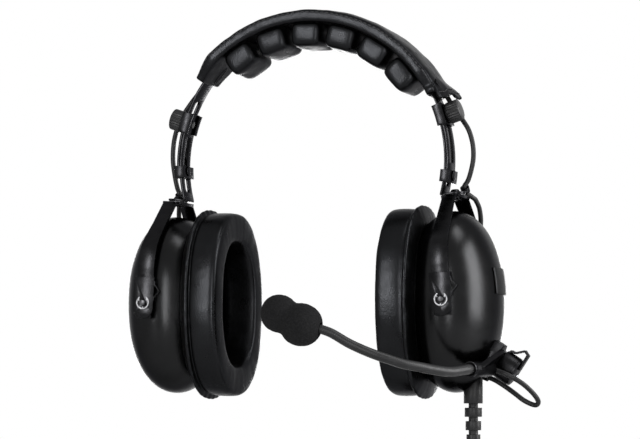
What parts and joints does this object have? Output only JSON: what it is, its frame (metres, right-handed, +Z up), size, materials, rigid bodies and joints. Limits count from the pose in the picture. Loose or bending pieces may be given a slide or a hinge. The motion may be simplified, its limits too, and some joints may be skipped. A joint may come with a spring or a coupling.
{
  "type": "aviation headset",
  "caption": "Padded headset with a sprung slotted headband, sliding arms, stirrup-hung ear cups, a gooseneck boom microphone and a coiled lead with a plug.",
  "frame": {"origin": "midway between the ears, on the line through the cups' tilt pins", "axes": "+Z up, the wearer faces -Y, +X towards the wearer's left ear, which carries the boom"},
  "size_m": [0.2464, 0.1616, 0.414],
  "materials": {
    "black_steel": "black oxide, satin",
    "padded_vinyl": "fine-grained black leatherette over foam",
    "dome_plastic": "moulded black plastic, satin",
    "hub_plastic": "moulded black plastic, satin",
    "knob_plastic": "ribbed black plastic, matt",
    "plug_plastic": "moulded black plastic",
    "bright_steel": "plated",
    "badge_metal": "dark satin, bare",
    "gooseneck": "black, satin",
    "open_foam": "open-cell foam, matt",
    "cable_jacket": "black, satin",
    "plug_brass": "plated"
  },
  "bodies": {
    "headband": {"headband_spring": "black_steel", "headband_cover": "padded_vinyl", "headband_pads": "padded_vinyl", "band_keepers": "black_steel", "guide_rivets": "black_steel", "crossover_cable_top": "cable_jacket", "left_cable_upper": "cable_jacket", "right_cable_upper": "cable_jacket"},
    "left_slide": {"left_slide_arm": "black_steel", "left_slide_keeper": "black_steel", "left_swivel_rivet": "black_steel", "left_swivel_washer": "bright_steel", "left_cable_clip": "black_steel", "left_cable_lower": "cable_jacket"},
    "left_thumb": {"left_thumbscrew": "knob_plastic"},
    "left_stirrup": {"left_stirrup": "black_steel", "left_hangers": "black_steel", "left_hanger_springs": "black_steel"},
    "left_dome": {"left_dome_shell": "dome_plastic", "left_seal_plate": "dome_plastic", "left_ear_seal": "padded_vinyl", "left_foam_liner": "open_foam", "left_receiver": "hub_plastic", "left_pivot_pins": "bright_steel", "left_e_clips": "bright_steel", "badge_plate": "badge_metal", "boom_hub": "hub_plastic", "hub_cap": "hub_plastic", "hub_screws": "bright_steel", "hub_strap": "hub_plastic", "mic_lead": "cable_jacket", "strain_relief": "cable_jacket", "cord_drop": "cable_jacket", "cord_coil": "cable_jacket", "cord_tie": "cable_jacket", "cord_tail": "cable_jacket", "plug_body": "plug_plastic", "plug_pin": "plug_brass"},
    "right_slide": {"right_slide_arm": "black_steel", "right_slide_keeper": "black_steel", "right_swivel_rivet": "black_steel", "right_swivel_washer": "bright_steel", "right_cable_clip": "black_steel", "right_cable_lower": "cable_jacket"},
    "right_thumb": {"right_thumbscrew": "knob_plastic"},
    "right_stirrup": {"right_stirrup": "black_steel", "right_hangers": "black_steel", "right_hanger_springs": "black_steel"},
    "right_dome": {"right_dome_shell": "dome_plastic", "right_seal_plate": "dome_plastic", "right_ear_seal": "padded_vinyl", "right_foam_liner": "open_foam", "right_receiver": "hub_plastic", "right_pivot_pins": "bright_steel", "right_e_clips": "bright_steel"},
    "boom": {"boom_bracket": "hub_plastic", "boom_collar": "bright_steel", "boom_tube": "gooseneck", "mic_capsule": "hub_plastic", "mic_windscreen": "open_foam"}
  },
  "joints": [
    {"name": "left_size", "type": "hinge", "parent": "headband", "child": "left_slide", "pos_m": [0, 0, 0.082], "axis": [0, 1, 0], "range_deg": [-1.5, 17], "deforming": ["left_cable_upper"]},
    {"name": "left_thumbscrew_turn", "type": "hinge", "parent": "left_slide", "child": "left_thumb", "pos_m": [0, 0, 0.082], "axis": [0.9511, 0, 0.309], "continuous": true},
    {"name": "left_swivel", "type": "hinge", "parent": "left_slide", "child": "left_stirrup", "pos_m": [0.08925, 0, 0], "axis": [-0.0666, 0, 0.9978], "range_deg": [-15, 15], "deforming": ["left_cable_lower"]},
    {"name": "left_tilt", "type": "hinge", "parent": "left_stirrup", "child": "left_dome", "pos_m": [0.08925, 0, 0], "axis": [0, -1, 0], "range_deg": [-10, 10]},
    {"name": "right_size", "type": "hinge", "parent": "headband", "child": "right_slide", "pos_m": [0, 0, 0.082], "axis": [0, -1, 0], "range_deg": [-6, 12.5], "deforming": ["right_cable_upper"]},
    {"name": "right_thumbscrew_turn", "type": "hinge", "parent": "right_slide", "child": "right_thumb", "pos_m": [0, 0, 0.082], "axis": [-0.9511, 0, 0.309], "continuous": true},
    {"name": "right_swivel", "type": "hinge", "parent": "right_slide", "child": "right_stirrup", "pos_m": [-0.08925, 0, 0], "axis": [-0.0666, 0, -0.9978], "range_deg": [-15, 15], "deforming": ["right_cable_lower"]},
    {"name": "right_tilt", "type": "hinge", "parent": "right_stirrup", "child": "right_dome", "pos_m": [-0.08925, 0, 0], "axis": [0, 1, 0], "range_deg": [-10, 10]},
    {"name": "boom_swing", "type": "hinge", "parent": "left_dome", "child": "boom", "pos_m": [0.104, 0, -0.03], "axis": [-0.8339, 0, 0.5519], "range_deg": [-20, 75], "deforming": ["mic_lead"]}
  ]
}
